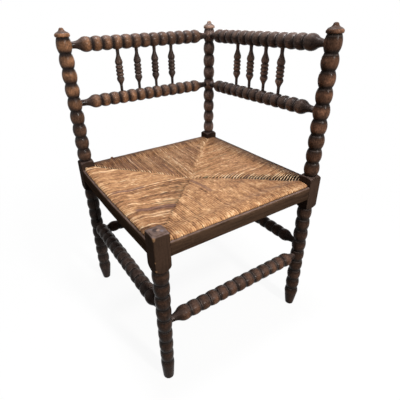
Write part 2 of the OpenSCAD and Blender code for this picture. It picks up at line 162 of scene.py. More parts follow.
class Nodes:
    """Short calls for the nodes of one material or world."""

    def __init__(self, owner):
        owner.use_nodes = True
        self.owner = owner
        self.tree = owner.node_tree
        self.shader = self.tree.nodes.get("Principled BSDF")

    def put(self, socket, value):
        if hasattr(value, "links"):
            self.tree.links.new(value, socket)
        else:
            socket.default_value = value

    def add(self, kind, *values, **settings):
        """New shader node, with values or links for its first inputs."""
        node = self.tree.nodes.new("ShaderNode" + kind)
        for key, value in settings.items():
            setattr(node, key, value)
        for socket, value in zip(node.inputs, values):
            self.put(socket, value)
        return node

    def surface(self, inputs):
        """Put values or links into the shader's inputs by name."""
        for name, value in inputs.items():
            self.put(self.shader.inputs[name], value)

    def attribute(self, name, output="Fac"):
        return self.add("Attribute", attribute_name=name).outputs[output]

    def point(self):
        """Place in the chair's frame, in metres."""
        return self.add("TexCoord").outputs["Object"]

    def calc(self, operation, a, b, clamp=False):
        return self.add("Math", a, b, operation=operation, use_clamp=clamp).outputs[0]

    def times(self, product, *others):
        for other in others:
            product = self.calc("MULTIPLY", product, other)
        return product

    def scaled(self, vector, scale, turn=0.0):
        """Vector scaled, then turned about Z."""
        return self.add("Mapping", vector, (0, 0, 0), (0, 0, turn), scale).outputs[0]

    def noise(self, vector, scale, detail=3.0, rough=0.55):
        return self.add("TexNoise", vector, 0.0, scale, detail, rough).outputs["Fac"]

    def ranged(self, value, low, high, out_low=0.0, out_high=1.0):
        """Smooth step from out_low to out_high as the value goes from low to high."""
        node = self.add("MapRange", value, low, high, out_low, out_high)
        node.interpolation_type = "SMOOTHSTEP"
        return node.outputs[0]

    def ramp(self, value, stops):
        node = self.add("ValToRGB", value)
        elements = node.color_ramp.elements
        while len(elements) < len(stops):
            elements.new(0.5)
        for element, (at, colour) in zip(elements, stops):
            element.position = at
            element.color = (*colour, 1.0)
        return node.outputs[0]

    def mix(self, share, a, b, blend="MIX"):
        node = self.add("Mix", share, data_type="RGBA", blend_type=blend)
        for socket, value in ((node.inputs[6], a), (node.inputs[7], b)):
            self.put(socket, (*value, 1.0) if isinstance(value, tuple) else value)
        return node.outputs[2]

    def bump(self, height, strength, distance, normal=None):
        node = self.add("Bump", strength, distance)
        self.put(node.inputs["Height"], height)
        if normal:
            self.put(node.inputs["Normal"], normal)
        return node.outputs[0]


GROOVE_DIRT_AND_SHADE = (0.012, 0.009, 0.008)
SPECK = (0.32, 0.24, 0.18)
TOP_DUST_AND_SHEEN = (0.200, 0.142, 0.126)
PAINTED_RING_SHEEN = (0.30, 0.245, 0.225)


def wood_material(name, deep, body, worn, gloss, specular, dust_and_sheen, groove_sheen=0.0, coarse=1.0, spots=()):
    """Stained and waxed wood: grooves darkened by dirt and painted shade, crowns lightened by wear and a
    painted highlight, grain along the axis and dust in the pores. The mesh gives grain (a vector), crown
    (0 in a groove, 1 on top), warm (share of the worn colour, which also paints highlights).
    dust_and_sheen is the share of dust and painted sheen on surfaces that look up, groove_sheen that of a
    pale painted highlight along the grooves, and coarse is below 1 on a planed face, which is more even.
    Each spot is a place in the chair's millimetres, a radius and a colour."""
    n = Nodes(bpy.data.materials.new(name))
    grain = n.attribute("grain", "Vector")
    crown = n.attribute("crown")
    fibre = n.noise(n.scaled(grain, (1.0, 1.0, 0.06)), 900.0, 4.0, 0.6)
    streak = n.noise(n.scaled(grain, (1.0, 1.0, 0.10)), 190.0, 3.0, 0.5)
    patch = n.noise(grain, 34.0, 3.0, 0.6)
    # Worn colour on the crowns, in the share warm gives: wear, and a painted highlight on each bead
    wear_and_highlight = n.times(n.ranged(crown, 0.25, 1.05), n.ranged(patch, 0.25, 0.62, 0.35, 1.0))
    wear_and_highlight = n.calc("MULTIPLY", wear_and_highlight, n.attribute("warm"), clamp=True)
    colour = n.ramp(n.ranged(streak, 0.25, 0.75), [(0.0, deep), (0.55, body), (1.0, body)])
    colour = n.mix(wear_and_highlight, colour, worn)
    # Painted highlight: patches on the crowns' tops made up to half again lighter
    painted_highlight = n.times(n.ranged(crown, 0.7, 1.0), n.ranged(n.noise(grain, 70.0, 2.0), 0.4, 0.7))
    colour = n.mix(1.0, colour, n.ranged(painted_highlight, 0.0, 1.0, 1.0, 1.55), "MULTIPLY")
    # Grooves darkened toward near black: dirt, and painted shade in the hollows
    dirt_and_shade = n.ranged(crown, -0.1, 0.95, 1.0, 0.0)
    colour = n.mix(n.times(dirt_and_shade, 0.74), colour, GROOVE_DIRT_AND_SHADE)
    mottle = n.noise(n.scaled(grain, (1.0, 1.0, 0.7)), 330.0, 2.0, 0.6)
    colour = n.mix(coarse, colour, n.ranged(mottle, 0.32, 0.68, 0.72, 1.24), "MULTIPLY")
    colour = n.mix(coarse, colour, n.ranged(fibre, 0.25, 0.8, 0.80, 1.18), "MULTIPLY")
    speck = n.ranged(n.noise(grain, 420.0, 1.0, 0.4), 0.765, 0.80)
    colour = n.mix(n.times(speck, 0.35), colour, SPECK)
    # Dust with a painted sheen, a painted reflection of light from above, on surfaces that look up
    normal = n.add("NewGeometry").outputs["Normal"]
    up = n.add("SeparateXYZ", normal).outputs["Z"]
    top_dust_and_sheen = n.times(n.ranged(up, 0.25, 0.95), n.ranged(patch, 0.25, 0.7, 0.6, 1.0),
                   n.ranged(crown, 0.0, 0.5, 0.2, 1.0),
                   n.ranged(n.noise(grain, 130.0, 2.0), 0.35, 0.65, 0.6, 1.15), dust_and_sheen)
    colour = n.mix(top_dust_and_sheen, colour, TOP_DUST_AND_SHEEN)
    # A pale painted highlight along the upper edges of the grooves
    if groove_sheen:
        ring = n.times(n.ranged(crown, 0.15, 0.30), n.ranged(crown, 0.30, 0.55, 1.0, 0.0),
                       n.ranged(up, -0.1, 0.7), n.ranged(n.noise(grain, 60.0, 2.0), 0.35, 0.60), groove_sheen)
        colour = n.mix(ring, colour, PAINTED_RING_SHEEN)
    for place, radius, tint in spots:
        size = radius * MM
        centre = [v * MM for v in place]
        away = n.add("VectorMath", n.point(), centre, operation="DISTANCE").outputs["Value"]
        ragged = n.calc("ADD", away, n.times(n.noise(grain, 300.0, 2.0), 0.4 * size))
        colour = n.mix(n.ranged(ragged, 0.7 * size, 1.3 * size, 0.75, 0.0), colour, tint)
    wave = n.bump(patch, 0.35, 0.0012)
    n.surface({
        "Base Color": colour,
        "Roughness": n.ranged(n.noise(grain, 75.0, 4.0, 0.6), 0.3, 0.7, gloss - 0.06, gloss + 0.14),
        "Specular IOR Level": specular,
        "Normal": n.bump(fibre, 0.5 * coarse, 0.00022, wave),
    })
    return n.owner


# Mesh helpers

def new_object(name, verts, faces, attributes, material, sharp=38.0):
    """Mesh object in metres with float or vector attributes per vertex."""
    mesh = bpy.data.meshes.new(name)
    mesh.from_pydata(verts.tolist(), [], faces)
    for key, values in attributes.items():
        values = np.asarray(values, np.float32)
        if values.ndim == 2:
            layer = mesh.attributes.new(key, "FLOAT_VECTOR", "POINT")
            layer.data.foreach_set("vector", values.ravel())
        else:
            layer = mesh.attributes.new(key, "FLOAT", "POINT")
            layer.data.foreach_set("value", values)
    mesh.materials.append(material)
    mesh.validate()
    mesh.shade_smooth()
    mesh.set_sharp_from_angle(angle=math.radians(sharp))
    obj = bpy.data.objects.new(name, mesh)
    scene.collection.objects.link(obj)
    return obj


def grid_faces(rows, columns, closed, first=0):
    """Quads of a grid whose columns close round when told."""
    faces = []
    last = columns if closed else columns - 1
    for i in range(rows - 1):
        for j in range(last):
            a = first + i * columns + j
            b = first + i * columns + (j + 1) % columns
            faces.append((a, b, b + columns, a + columns))
    return faces


def chair_points(verts, k):
    """Points in millimetres in the frame of side k, to metres in the chair's."""
    return (np.array(verts) * MM) @ np.array(side_turn(k), float)[:3, :3].T


def grain_offset(seed):
    """Where a piece lies in the wood's noise, so that no two look alike."""
    rng = random.Random(seed)
    return np.array([rng.uniform(-5, 5) for _ in range(3)])


def attach(obj, node=None):
    """Fix a piece to the chair, and hide the node it replaces."""
    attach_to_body(obj, BODY)
    if node:
        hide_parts(node)


def lathe(name, profile, angles, place, material, seed, outline=None, dull=None):
    """Turned piece for a node, from rows of (height, radius, crown, warm) in millimetres.
    place maps its own frame, axis along Z, to the chair. outline(angles, height, radius) may change
    a radius. dull is (height, height, material) for the flat-sided part of a post."""
    rows, columns = len(profile), len(angles)
    cos, sin = np.cos(angles), np.sin(angles)
    verts = np.zeros((rows * columns + 2, 3))
    crown = np.zeros(len(verts))
    warm = np.zeros(len(verts))
    for i, (height, radius, up, tone) in enumerate(profile):
        r = np.full(columns, radius) if outline is None else outline(angles, height, radius)
        part = slice(i * columns, (i + 1) * columns)
        verts[part] = np.stack([r * cos, r * sin, np.full(columns, height)], axis=1)
        crown[part] = up
        warm[part] = tone
    verts[-2] = (0, 0, profile[0][0])
    verts[-1] = (0, 0, profile[-1][0])
    crown[-2:] = 0.6
    warm[-2:] = profile[-1][3]
    faces = grid_faces(rows, columns, True)
    low, top = len(verts) - 2, len(verts) - 1
    last = (rows - 1) * columns
    for j in range(columns):
        k = (j + 1) % columns
        faces.append((low, k, j))
        faces.append((top, last + j, last + k))
    moved = np.array(place, float)
    world = (verts * MM) @ moved[:3, :3].T + moved[:3, 3]
    data = {"grain": verts * MM + grain_offset(seed), "crown": crown, "warm": warm}
    obj = new_object(name + "_turned", world, faces, data, material)
    if dull:
        low_z, high_z, dull_material = dull
        obj.data.materials.append(dull_material)
        for face in obj.data.polygons:
            height = verts[face.vertices[0]][2]
            face.material_index = int(low_z <= height < high_z)
    attach(obj, name)


def bead_rows(start, pitch, wide, depth, warm, steps=12, skip_first=False):
    """Rows of one bead, an arc that is depth lower where the bead ends."""
    half = pitch / 2
    arc = (half * half + depth * depth) / (2 * depth)
    rows = []
    for s in range(1 if skip_first else 0, steps + 1):
        share = -math.cos(math.pi * s / steps)
        y = half * (0.25 * share + 0.75 * (2 * s / steps - 1))
        r = wide - arc + math.sqrt(arc * arc - y * y)
        rows.append((start + half + y, r, min(1.0, max(0.0, (r - wide + depth) / depth)), warm))
    return rows


def square_outline(half, corner_r, angles):
    """Radius of a square with rounded corners at each angle."""
    c, s = np.abs(np.cos(angles)), np.abs(np.sin(angles))
    flat = half / np.maximum(c, s)
    at = half - corner_r
    along = at * (c + s)
    inside = along * along - 2 * at * at + corner_r * corner_r
    rounded = along + np.sqrt(np.maximum(inside, 0.0))
    other = flat * np.minimum(c, s)
    return np.where(other > at, rounded, flat)


def post_angles():
    """Angles round a post, closer together at the block's corners."""
    quarter = [0, 6, 12, 18, 24, 30, 35, 38.5, 40.8, 42.4, 43.6]
    both = sorted(set([-q for q in quarter] + quarter + [45]))
    return np.radians(np.array([q + 90 * k for k in range(4) for q in both]))


def round_angles(count):
    return np.linspace(0, 2 * math.pi, count, endpoint=False)


def shoulder_rows(corner_z, neck_z, neck_r, corner_r, warm, steps=8):
    """Rounded turning from the block's corners to a neck, from the lower end up."""
    rows = []
    for i in range(steps + 1):
        t = i / steps
        bulge = math.sqrt(max(0.0, 1 - t * t))
        r = neck_r + (corner_r - neck_r) * (0.35 * (1 - t) + 0.65 * bulge)
        rows.append((corner_z + (neck_z - corner_z) * t, r, 0.55, warm))
    return rows if neck_z > corner_z else rows[::-1]


# Turned members

def foot_rows(leg, first_r, warm_at):
    """A rounded lower edge, a taper, and the upper half of the lowest bead."""
    tip = LEG_FOOT_R if leg else POST_FOOT_R
    edge_z = 2.6
    middle = FOOT_H - LOWER_PITCH / 2
    rows = []
    for r, z in ((tip - 2.2, 0.0), (tip - 0.9, 0.4), (tip - 0.2, 1.3), (tip, edge_z)):
        rows.append((z, r, 0.5, warm_at(z)))
    for t in (0.2, 0.4, 0.6, 0.75, 0.88):
        z = edge_z + (middle - edge_z) * t
        rows.append((z, tip + (first_r - 0.2 - tip) * t ** 0.9, 0.75, warm_at(z)))
    depth = LEG_LOW_GROOVE if leg else LOWER_GROOVE
    bead = bead_rows(FOOT_H - LOWER_PITCH, LOWER_PITCH, first_r, depth, 0.0)
    rows += [(z, r, up, warm_at(z)) for z, r, up, _ in bead if z > middle - 1]
    return rows


def leg_top_rows(corner, warm_at):
    """The leg's square part and its low dome, with the small dent left by the lathe's centre."""
    top_square = LEG_TOP_Z - LEG_DOME
    low_edge = BLOCK_Z + LEG_SHOULDER_H
    rows = []
    for t in (0.1, 0.2, 0.3, 0.4, 0.5, 0.6, 0.7, 0.8, 0.9, 0.95, 0.97, 0.98, 0.99, 0.996, 1.0):
        z = low_edge + (top_square - low_edge) * t
        rows.append((z, corner + 0.3, 0.7, warm_at(z)))
    dome = (corner ** 2 + LEG_DOME ** 2) / (2 * LEG_DOME)
    for r in (24.8, 22.0, 19.0, 16.0, 13.0, 10.0, 7.0, 5.0, 3.8, 2.8, 1.4):
        sunk = 0.9 * ease((4.4 - r) / 2.6)
        z = LEG_TOP_Z - dome + math.sqrt(dome * dome - r * r) - sunk
        rows.append((z, r, 1.0 - 0.3 * sunk, 1.0 if r < 11 else 0.3))
    return rows


def post_top_rows(corner, bead_r, warm_at, rng):
    """A post from its square part up: shoulder, upper beads and finial."""
    top_square = BLOCK_TOP_Z - SHOULDER_TOP_H
    low_edge = BLOCK_Z + SHOULDER_LOW_H
    rows = []
    for t in np.linspace(0, 1, 10)[1:-1]:
        z = low_edge + (top_square - low_edge) * t
        rows.append((z, corner + 0.3, 0.7, warm_at(z)))
    neck_top = bead_r - UPPER_GROOVE - 0.6
    rows += shoulder_rows(top_square, BLOCK_TOP_Z - 0.3, neck_top, corner + 0.3, warm_at(BLOCK_TOP_Z))
    for i in range(UPPER_BEADS):
        z0 = BLOCK_TOP_Z + i * UPPER_PITCH
        middle = z0 + UPPER_PITCH / 2
        wide = bead_r + rng.uniform(-0.25, 0.25)
        tone = warm_at(middle) * rng.uniform(0.75, 1.2)
        beads = bead_rows(z0, UPPER_PITCH, wide, UPPER_GROOVE, tone)
        if i == UPPER_BEADS - 1:
            # The top bead runs up full under the cap
            beads = [(z, wide - (wide - r) * (0.7 if z > middle else 1.0), up, tone)
                     for z, r, up, tone in beads]
        rows += beads
    return rows + finial_rows(bead_r, warm_at)


def block_outline(leg):
    """Outline of a post or leg: square between its block's ends, round elsewhere."""
    top = LEG_TOP_Z + 1 if leg else BLOCK_TOP_Z
    sharpness = 2.4

    def outline(angles, z, radius):
        turned = np.full(len(angles), radius)
        if z < BLOCK_Z or z > top:
            return turned
        corner_r = 1.6
        inset = 0.0
        if leg:
            # The top's edges and corners are worn round
            worn = min(1.0, max(0.0, (z - (LEG_TOP_Z - LEG_DOME - LEG_ROUND)) / LEG_ROUND))
            corner_r = 2.2 + 7.5 * worn
            inset = LEG_ROUND * (1 - math.sqrt(1 - worn * worn))
        wall = square_outline(BLOCK_W / 2 - inset, corner_r, angles)
        blend = np.log1p(np.exp(-sharpness * np.abs(wall - turned))) / sharpness
        return np.minimum(wall, turned) - blend * (turned < wall + 6)

    return outline


def make_post(name, material, dull, bead_r, warm_at, seed):
    """One of the tall posts, or the front leg, whose beads grow from the floor up."""
    rng = random.Random(seed)
    leg = name == "front_leg"
    rows = foot_rows(leg, LEG_LOW_R if leg else bead_r, warm_at)
    for i in range(LOWER_BEADS):
        t = (i + 0.5) / LOWER_BEADS
        wide = LEG_LOW_R + (LEG_HIGH_R - LEG_LOW_R) * t if leg else bead_r
        deep = LEG_LOW_GROOVE + (LEG_HIGH_GROOVE - LEG_LOW_GROOVE) * t if leg else LOWER_GROOVE
        wide += rng.uniform(-0.25, 0.25)
        z0 = FOOT_H + i * LOWER_PITCH
        tone = warm_at(z0 + LOWER_PITCH / 2) * rng.uniform(0.75, 1.2)
        beads = bead_rows(z0, LOWER_PITCH, wide, deep, tone, skip_first=True)
        if leg:
            # The upper half of each bead is painted lighter, a painted highlight
            beads = [(z, r, up, tone + 0.55 * ease((z - z0) / LOWER_PITCH * 2 - 1))
                     for z, r, up, _ in beads]
        rows += beads
    neck = (LEG_HIGH_R - LEG_HIGH_GROOVE if leg else bead_r - LOWER_GROOVE) - 0.6
    corner = BLOCK_W / 2 * math.sqrt(2)
    low_edge = BLOCK_Z + (LEG_SHOULDER_H if leg else SHOULDER_LOW_H)
    rows += shoulder_rows(low_edge, BLOCK_Z + 0.3, neck, corner + 0.3, warm_at(BLOCK_Z))
    rows += leg_top_rows(corner, warm_at) if leg else post_top_rows(corner, bead_r, warm_at, rng)
    place = Matrix.Translation(Vector((*CORNER[name], 0)) * MM)
    flat = (BLOCK_Z + 1, LEG_TOP_Z if leg else BLOCK_TOP_Z - 1, dull)
    lathe(name, rows, post_angles(), place, material, seed, block_outline(leg), flat)


# A finial above the cap's lower face: (height, share of the rim's radius, crown), then the knob's
# (height, radius)
CAP = [(0.6, 0.76, 0.2), (0.9, 0.83, 0.4), (1.6, 0.90, 0.7), (2.8, 0.965, 0.9), (4.4, 0.995, 1.0),
       (5.8, 1.0, 1.0), (7.4, 0.985, 1.0), (8.9, 0.945, 1.0), (10.1, 0.885, 0.9), (10.7, 0.84, 0.5),
       (10.9, 0.815, 0.2), (11.5, 0.79, 0.4), (12.3, 0.71, 0.7), (13.0, 0.62, 0.7), (13.8, 0.54, 0.7),
       (14.8, 0.46, 0.7), (15.9, 0.40, 0.7)]
KNOB = [(17.0, 6.7), (18.2, 6.2), (19.3, 5.8), (20.3, 5.2), (21.1, 4.4), (21.7, 3.4), (22.05, 2.2),
        (22.2, 1.0)]
RIM_TOP = 10.5


def finial_rows(bead_r, warm_at):
    """Cap with a thick rounded rim, a small step, a low dome that sweeps up and a blunt knob."""
    rim_warm = max(0.9, warm_at(POST_H))
    rows = [(CAP_Z + z, (bead_r - 0.2) * r, up, rim_warm if z < RIM_TOP else 0.5) for z, r, up in CAP]
    return rows + [(CAP_Z + z, r, 0.9, 0.6) for z, r in KNOB]


def arc_fall(half, drop, at):
    """How far an arc that drops over half its length has fallen at a distance from its widest place."""
    arc = (half * half + drop * drop) / (2 * drop)
    return arc - math.sqrt(max(arc * arc - at * at, 0.0))


def beaded_rail_rows(bead_r, groove, end_drop, end, neck, neck_r, tip, warm_at, seed):
    """Rows of a rail along its axis, from one tenon to the other, of sizes as in the table of rails.
    Beyond its last bead a hollow taper runs out into the neck."""
    rng = random.Random(seed)
    pitch = (SPAN - 2 * end) / RAIL_BEADS
    half = pitch / 2
    last = (RAIL_BEADS - 1) / 2 * pitch
    neck_at = AXIS - POST_BEAD_R - neck
    tip_at = AXIS - tip
    run = neck_at - last - half
    taper = [(last + half * t, bead_r - arc_fall(half, end_drop, half * t), 1.0 - 0.25 * t)
             for t in (0.15, 0.3, 0.45, 0.6, 0.75, 0.9, 1.0)]
    for t in (0.1, 0.2, 0.35, 0.5, 0.65, 0.8, 1.0):
        hollow = arc_fall(run, bead_r - end_drop - neck_r, run * (1 - t))
        taper.append((last + half + run * t, neck_r + hollow, 0.72 - 0.25 * t))
    taper.append((tip_at - 1.0, neck_r, 0.1))
    taper.append((tip_at, neck_r - 1.0, 0.1))
    taper = [(at, r, up, 1 - 0.9 * ease((at - last) / (0.5 * run + half))) for at, r, up in taper]
    rows = [(-at, r, up, warm_at(-at) * bare) for at, r, up, bare in reversed(taper)]
    for i in range(RAIL_BEADS):
        z0 = i * pitch - last - half
        wide = bead_r + rng.uniform(-0.3, 0.3)
        deep = groove + rng.uniform(-0.2, 0.2)
        if i in (0, RAIL_BEADS - 1):
            wide, deep = bead_r, groove
        tone = warm_at(z0 + half) * rng.uniform(0.78, 1.2)
        beads = bead_rows(z0, pitch, wide, deep, tone, 11, i > 0)
        if i == 0:
            beads = [row for row in beads if row[0] > -last + 0.5]
        if i == RAIL_BEADS - 1:
            beads = [row for row in beads if row[0] < last - 0.5]
        rows += beads
    rows += [(at, r, up, warm_at(at) * bare) for at, r, up, bare in taper]
    return rows


def along_side(k, z):
    """Frame of a member along side k at a height: its axis is the side's X."""
    lay = Matrix.Rotation(math.radians(90), 4, "Y")
    return side_turn(k) @ Matrix.Translation(Vector((0, -AXIS, z)) * MM) @ lay


def make_rail(name, k, z, sizes, material, seed, low, rise=0.0, start=0.0, over=1.0):
    """A rail or stretcher. Its share of worn colour is low, and goes up by rise from start on."""
    rows = beaded_rail_rows(*sizes, lambda s: low + rise * ease((s - start) / over), seed)
    lathe(name, rows, round_angles(40), along_side(k, z), material, seed)


def make_spindle(name, k, x, material, warm, seed):
    low = LOWER_RAIL_Z + LOWER_RAIL_R
    top = TOP_RAIL_Z - TOP_RAIL_R
    length = top - low
    ring = 0.09 * length
    bulb = 0.212 * length
    half = []
    for i in range(9):
        y = ring * 1.5 * i / 8
        phase = (y / ring + 0.5) % 1.0 - 0.5
        r = SPINDLE_R + RING_SWELL * math.cos(math.pi * phase) ** 0.8
        half.append((y, r, 0.25 + 0.75 * (r - SPINDLE_R) / RING_SWELL))
    for i in range(1, 11):
        t = i / 10
        y = ring * 1.5 + (bulb - ring * 1.5) * t
        r = SPINDLE_R + (BULB_R - SPINDLE_R) * math.sin(math.pi / 2 * t) ** 0.8
        half.append((y, r, 0.3 + 0.7 * t))
    ends = []
    for neck_r, far_r, reach in ((4.0, 4.0, 0.37), (4.6, 5.0, 0.42)):
        vase = reach * length
        end = []
        for i in range(1, 13):
            t = i / 12
            y = bulb + (vase - bulb) * t
            end.append((y, neck_r + (BULB_R - neck_r) * (1 - ease(t ** 0.85)), 1 - 0.6 * t))
        for beyond, r, up in ((0.5, far_r, 0.35), (1.0, PIN_R, 0.2), (PIN_LONG - 0.5, PIN_R, 0.2),
                              (PIN_LONG, PIN_R - 0.7, 0.2)):
            end.append((length / 2 + beyond, r, up))
        ends.append(end)
    rows = [(-y, r, up, warm) for y, r, up in reversed(half + ends[0])]
    rows += [(y, r, up, warm) for y, r, up in half[1:] + ends[1]]
    place = side_turn(k) @ Matrix.Translation(Vector((x, -AXIS, (low + top) / 2)) * MM)
    lathe(name, rows, round_angles(24), place, material, seed)


def make_strip(name, k, bow, tilt, taller, material, seed):
    """Thin facing board along one side of the rush, with a rounded top edge. It may bow outward, lie
    tilt lower at its far end, and stand taller than the others."""
    length = SPAN - BLOCK_W - 0.2
    z0, z1 = STRIP_BOX[0][2], STRIP_BOX[1][2] + taller
    section = [(0.0, z0), (0.0, z1 - 0.4), (0.4, z1), (2.0, z1)]
    for a in np.radians([15, 30, 45, 60, 75, 90]):
        section.append((STRIP_T - STRIP_ROUND * (1 - math.sin(a)), z1 - STRIP_ROUND * (1 - math.cos(a))))
    section += [(STRIP_T, z1 - 12), (STRIP_T, z0 + 12), (STRIP_T, z0 + 1.5), (STRIP_T - 1.2, z0)]
    edge = [0.3, 0.4, 0.5, 0.7, 0.9, 1, 1, 1, 0.9, 0.8, 0.6, 0.5, 0.7, 0.6]
    sections = 41
    verts, crown = [], []
    for i in range(sections):
        t = i / (sections - 1)
        x = -length / 2 + length * t
        push = bow * math.sin(math.pi * t) ** 1.2
        wander = 0.25 * math.sin(7.1 * t + seed) + 0.15 * math.sin(17.3 * t + 2 * seed)
        for (d, z), up in zip(section, edge):
            y = -AXIS - (STRIP_OUT - STRIP_T) - d - push
            verts.append((x, y, z - tilt * t + wander * (0.3 if z < z0 + 2 else 1.0)))
            crown.append(up)
    verts = np.array(verts)
    count = len(section)
    faces = grid_faces(sections, count, True)
    faces.append(tuple(range(count)))
    faces.append(tuple((sections - 1) * count + j for j in reversed(range(count))))
    data = {"grain": verts[:, [1, 2, 0]] * MM + grain_offset(seed), "crown": crown,
            "warm": np.full(len(verts), 0.4)}
    obj = new_object(name + "_board", chair_points(verts, k), faces, data, material, sharp=50.0)
    attach(obj, name)


# The woods: deep, body and worn colour (the worn colour also paints highlights on the crowns), roughness,
# specular level, dust with a painted sheen on top, a painted highlight along the grooves, and how coarse
# the surface is
WOODS = {
    "warm_turned_wood": ((0.019, 0.013, 0.011), (0.042, 0.0275, 0.0225), (0.33, 0.16, 0.08),
                         0.22, 0.06, 0.6),
    "dark_turned_wood": ((0.013, 0.009, 0.007), (0.026, 0.016, 0.012), (0.125, 0.061, 0.036),
                         0.22, 0.03, 0.35, 0.28),
    "dull_turned_wood": ((0.03, 0.02, 0.018), (0.06, 0.041, 0.034), (0.22, 0.135, 0.095),
                         0.24, 0.05, 0.55, 0.8),
    "rear_turned_wood": ((0.1, 0.069, 0.06), (0.198, 0.134, 0.115), (0.3, 0.192, 0.145),
                         0.24, 0.07, 0.5),
    "strip_wood": ((0.024, 0.014, 0.009), (0.06, 0.035, 0.022), (0.125, 0.072, 0.044),
                   0.45, 0.0, 0.7, 0.0, 0.45),
    "block_wood": ((0.032, 0.021, 0.016), (0.046, 0.029, 0.021), (0.08, 0.046, 0.031),
                   0.45, 0.001, 0.4, 0.0, 0.3),
    "leg_block_wood": ((0.038, 0.023, 0.016), (0.054, 0.032, 0.022), (0.08, 0.046, 0.03),
                       0.45, 0.001, 0.76, 0.0, 0.3),
}
# Marks on the leg's block: three bare places on its front corner, then four marks on its top
BARE = (0.24, 0.135, 0.07)
LEG_SPOTS = [
    ((-238, -238, 441), 5.5, BARE), ((-238.2, -238.2, 386), 2.5, BARE), ((-237.5, -237.5, 364), 3.5, BARE),
    ((-222.5, -218, 446), 8, (0.035, 0.028, 0.03)), ((-218, -220.5, 446), 4.4, (0.36, 0.24, 0.18)),
    ((-228, -212, 446), 3, (0.16, 0.135, 0.14)), ((-212.5, -226, 446), 4.5, (0.17, 0.145, 0.155)),
]
# Sizes of rails: bead radius, groove, fall of the end bead, from the post's axis to that bead, bare neck
# beside the post, neck radius, and how far the tenon ends from the post's axis
TOP_SIZES = (TOP_RAIL_R, 4.0, 4.4, TOP_RAIL_END, 2.0, 8.3, 9.8)
LOWER_SIZES = (LOWER_RAIL_R, 4.0, 4.4, 44.5, 8.0, 8.3, 9.8)
FRONT_SIZES = (18.5, 2.6, 4.5, 38.0, 1.0, 8.5, 4.0)
BACK_SIZES = (17.2, 2.6, 4.5, 38.0, 1.0, 8.5, 4.0)
# Rails and stretchers: side, height, sizes, turned wood, seed, and the share of worn colour; where that
# rises along the rail also by how much, from where and over how long. Side 2 begins at the rear post
RAILS = {
    "top_rail_left": (2, TOP_RAIL_Z, TOP_SIZES, "warm", 21, 0.18, 0.36, -100, 250),
    "top_rail_right": (1, TOP_RAIL_Z, TOP_SIZES, "dull", 22, 0.25),
    "lower_rail_left": (2, LOWER_RAIL_Z, LOWER_SIZES, "warm", 23, 0.38, 0.27, -60, 200),
    "lower_rail_right": (1, LOWER_RAIL_Z, LOWER_SIZES, "dull", 24, 0.4),
    "stretcher_front_right": (0, LOW_STRETCHER_Z, FRONT_SIZES, "dark", 25, 0.7),
    "stretcher_back_right": (1, HIGH_STRETCHER_Z, BACK_SIZES, "dark", 26, 0.3),
    "stretcher_back_left": (2, LOW_STRETCHER_Z, BACK_SIZES, "dark", 27, 0.2),
    "stretcher_front_left": (3, HIGH_STRETCHER_Z, FRONT_SIZES, "dark", 28, 0.08),
}
# Strips by side: bow, tilt and how much taller
STRIPS = [(0.0, 1.8, 0.0), (0.0, 0.0, 4.0), (0.0, 0.0, 3.0), (3.5, 0.0, 0.0)]


def left_warm(z):
    return 0.10 * ease((z - 200) / 200) + 0.60 * ease((z - 460) / 260)


def right_warm(z):
    return 0.80 if 540 < z < 730 else 0.25 + 0.30 * ease((z - 350) / 120)


def make_wood():
    wood = {}
    for name, values in WOODS.items():
        wood[name] = wood_material(name, *values, spots=LEG_SPOTS if name == "leg_block_wood" else ())
    warm, dark, dull, rear, strip, block, leg_block = wood.values()
    make_post("left_post", warm, block, 19.0, left_warm, 11)
    make_post("rear_post", rear, block, 17.3, lambda z: 0.45, 12)
    make_post("right_post", dark, block, 18.9, right_warm, 13)
    make_post("front_leg", dark, leg_block, LEG_HIGH_R, lambda z: 0.12, 14)
    for name, (k, z, sizes, kind, seed, *share) in RAILS.items():
        make_rail(name, k, z, sizes, wood[kind + "_turned_wood"], seed, *share)
    pitch = (SPAN - 2 * TOP_RAIL_END) / RAIL_BEADS
    for i in range(1, 5):
        x = (i - 2.5) * 2 * pitch
        make_spindle("spindle_left_%d" % i, 2, x, dull, 0.3 if i == 4 else 0.0, 30 + i)
        make_spindle("spindle_right_%d" % i, 1, x, rear, 0.75, 40 + i)
    for k, (bow, tilt, taller) in enumerate(STRIPS):
        make_strip("edge_strip_" + SIDE_NAMES[k], k, bow, tilt, taller, strip, 51 + k)


# Rush

STRAND_PITCH = 5.35
STRAND_ROOM = 201.0
STRAND_R = 2.3
STRAND_ANGLES = np.radians([-86, -62, -38, -13, 13, 38, 62, 86])
# By field: how much its strands differ from each other, and how long one colour runs along them
UNEVEN = (0.35, 0.8, 0.95, 1.45)
RUNS = (1.0, 0.9, 0.9, 1.1)
# How dark the grooves between its strands are painted: painted shade, with dirt
GROOVED = (0.72, 0.95, 0.95, 1.0)
# How strands end at a diagonal: whether they dive under the neighbour, over how long they stand apart, how
# far, how much paler they are painted (a painted highlight above 0, painted shade below 0), how ragged
# Ends at the front diagonal are ragged with wear and painted darker, a painted shade
WORN_SHADED_END = (False, 16.0, 0.0, -0.12, 4.0)
NEAT_END = (False, 5.0, 0.0, 0.05, 1.0)
# These by field, at the half of its side at -x and at the other
ENDS = [
    (WORN_SHADED_END, NEAT_END),
    ((True, 48.0, 0.48, 0.90, 1.0), (False, 14.0, 0.0, 0.30, 4.0)),
    ((False, 14.0, 0.0, 0.36, 4.0), (True, 14.0, 0.38, 0.95, 1.0)),
    (NEAT_END, WORN_SHADED_END),
]


def rush_top(u):
    """Height of the seat's upper side at u inward from its edge."""
    return SEAT_H - 5.5 * ease((u - 24) / 30) - 13.5 * (u / RUSH_HALF) ** 3


def rush_under(u):
    """Height of its lower side."""
    return RUSH_LOW_Z + 3 * ease((u - 24) / 30) - 3 * (u / RUSH_HALF) ** 3


